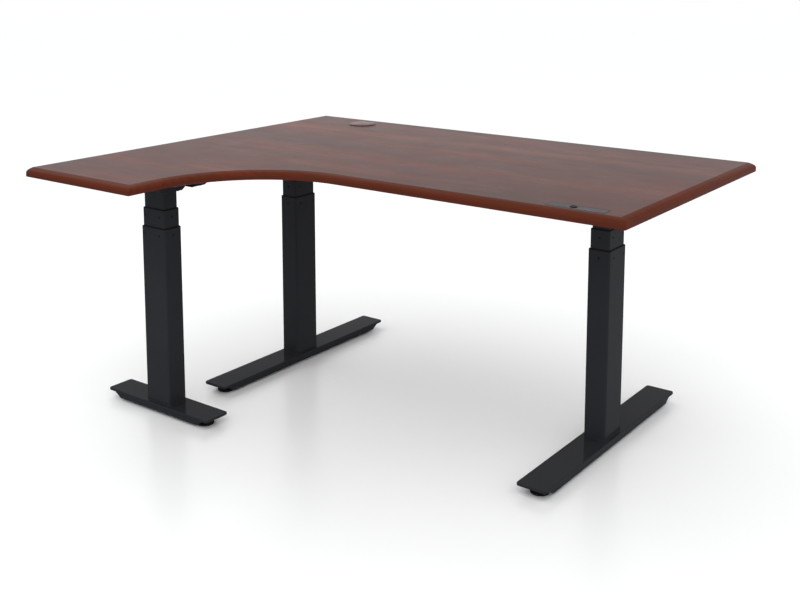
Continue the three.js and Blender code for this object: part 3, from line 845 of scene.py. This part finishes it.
def make_leads():
    leads = ("right_motor_lead", "corner_motor_lead", "left_motor_lead", "button_lead")
    for node in leads:
        bm = bmesh.new()
        bm.from_mesh(nodes[node].data)
        bmesh.ops.remove_doubles(bm, verts=bm.verts, dist=1e-6)
        bmesh.ops.dissolve_limit(bm, angle_limit=math.radians(0.5), verts=bm.verts, edges=bm.edges)
        bmesh.ops.join_triangles(bm, faces=bm.faces, angle_face_threshold=1.2, angle_shape_threshold=3.1)
        crease = bm.edges.layers.float.new("crease_edge")
        for edge in bm.edges:
            if edge.calc_face_angle() > math.radians(70):
                edge[crease] = 1.0
        obj = as_object(bm, "lead")
        modifier = obj.modifiers.new("round", "SUBSURF")
        modifier.levels = 2
        piece(f"{node}_sheath", applied(obj), "cable_sheath", "top", [node], sharp=60)


def half_circle(radius, first):
    """Points of a half circle under its centre, from the side first (-1 or 1) to the other."""
    steps = 12
    turns = [first * math.pi * (1 / 2 - step / steps) for step in range(steps + 1)]
    return [(radius * math.sin(turn), -radius * math.cos(turn)) for turn in turns]


def make_clips():
    """Saddle clips that hold the long leads against the underside."""
    spots = (
        ("left_motor_lead", -0.345), ("left_motor_lead", -0.235),
        ("button_lead", 0.545), ("button_lead", 0.455), ("button_lead", 0.365),
    )
    inner = 0.0029
    outer = 0.0043
    ear = 0.0105
    for index, (node, x) in enumerate(spots):
        point = lead_point(node, x)
        ahead = lead_point(node, x + LEAD_WINDOW) - lead_point(node, x - LEAD_WINDOW)
        angle = math.atan2(ahead.y, ahead.x)
        drop = UNDERSIDE - point.z
        upper, lower = drop - 0.0002, drop - 0.0016
        outline = [(-ear, upper), (-ear, lower), (-outer, lower)] + half_circle(outer, -1)
        outline += [(outer, lower), (ear, lower), (ear, upper), (inner, upper)]
        outline += half_circle(inner, 1) + [(-inner, upper)]
        bm = bmesh.new()
        loft(bm, [[(end, across, z) for across, z in outline] for end in (-0.004, 0.004)])
        for sign in (-1, 1):
            screw_head(bm, (0, sign * 0.0078, lower), (0, 0, -1), 0.0020, 0.0010)
        bm.transform(Matrix.Translation(point) @ Matrix.Rotation(angle, 4, "Z"))
        piece(f"lead_clip_{index}", bm, "black_plastic", "top")


# ---------- grommet and control ----------
def make_grommet():
    centre = middle_of("grommet_ring")
    place = Matrix.Translation((centre.x, centre.y, 0))
    flange, hole = 0.0448, GROMMET_HOLE
    base = SURFACE + 0.0003
    wall = hole - 0.0005
    bore = hole - 0.0035
    bm = bmesh.new()
    turned(bm, [
        (bore, UNDERSIDE + 0.003), (wall, UNDERSIDE + 0.003), (wall, base),
        (flange, base), (flange, base + 0.0008),
        (flange - 0.0005, base + 0.0017), (flange - 0.0015, base + 0.0025), (flange - 0.0028, base + 0.0029),
        (wall + 0.0004, base + 0.003), (wall, base + 0.0027), (wall, base + 0.0006), (bore, base + 0.0006),
    ], 96, place)
    piece("grommet_ring_flange", bm, "brown_plastic", "top", ["grommet_ring"])
    cap_low = base + 0.0009
    radius = wall - 0.0004
    skirt = hole - 0.004
    bm = bmesh.new()
    turned(bm, [
        (0, cap_low + 0.001), (skirt - 0.002, cap_low + 0.001), (skirt - 0.002, cap_low - 0.009),
        (skirt, cap_low - 0.009), (skirt, cap_low), (radius, cap_low), (radius, cap_low + 0.0016),
        (radius - 0.0004, cap_low + 0.0021), (radius - 0.004, cap_low + 0.0028),
        (radius - 0.014, cap_low + 0.0037), (radius - 0.026, cap_low + 0.0041), (0, cap_low + 0.0042),
    ], 96)
    tool = bmesh.new()
    notch = 0.012
    below, above = cap_low - 0.02, cap_low + 0.02
    cut = [(0, below), (notch, below), (notch, above), (0, above)]
    turned(tool, cut, 40, Matrix.Translation((0, hole - 0.003, 0)))
    bm = carve(bm, tool)
    bm.transform(place)
    piece("grommet_cap_dome", bm, "brown_plastic", "grommet_cap", ["grommet_cap"])


def make_control():
    low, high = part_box("control_plate")
    centre = (low + high) / 2
    button = middle_of("rocker_button")
    well = 0.0104
    bm = bmesh.new()
    size = high - low
    flush = SURFACE + 0.0003
    place = Matrix.Translation((centre.x, centre.y, 0))
    rounded_slab(bm, size.x, size.y, 0.0025, low.z, flush, 0.0003, place, 2)
    below, above = low.z - 0.01, high.z + 0.01
    cut = [(0, below), (well, below), (well, above), (0, above)]
    tool = bmesh.new()
    turned(tool, cut, 48, Matrix.Translation((button.x, button.y, 0)))
    piece("control_plate_cover", carve(bm, tool), "grey_plastic", "top", ["control_plate"])
    rocker_low, rocker_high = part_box("rocker_button")
    radius = (rocker_high.x - rocker_low.x) / 2
    crown = SURFACE + 0.0022
    bm = bmesh.new()
    turned(bm, [
        (0, rocker_low.z), (radius * 0.8, rocker_low.z), (radius, rocker_low.z + 0.003),
        (radius, crown - 0.0014), (radius - 0.0004, crown - 0.0005), (radius - 0.0013, crown),
        (radius - 0.003, crown - 0.0001), (radius - 0.0045, crown - 0.0006), (0, crown - 0.0008),
    ], 48, Matrix.Translation((button.x, button.y, 0)))
    piece("rocker_button_cap", bm, "black_plastic", "rocker_button", ["rocker_button"])
    marks = bmesh.new()
    for sign in (-1, 1):
        tip = Vector((button.x + sign * 0.0052, button.y, crown - 0.0007))
        points = [(sign * 0.0018, 0), (-sign * 0.0008, 0.0021), (-sign * 0.0008, -0.0021)]
        loft(marks, [[(tip.x + x, tip.y + y, z) for x, y in points] for z in (tip.z, tip.z + 0.0003)])
    piece("rocker_arrows", marks, "grey_plastic", "rocker_button")
    housing = refined("control_housing", 0.0008)
    piece("control_housing_box", housing, "black_plastic", "top", ["control_housing"])


# ---------- build ----------
make_camera()
make_light()
make_floor()
make_desktop()
make_legs()
make_crossbars()
make_rails()
make_control_box()
make_leads()
make_clips()
make_grommet()
make_control()
for name, node in nodes.items():
    node.data.materials.clear()
    node.data.materials.append(FINISH[node_finish(name)])
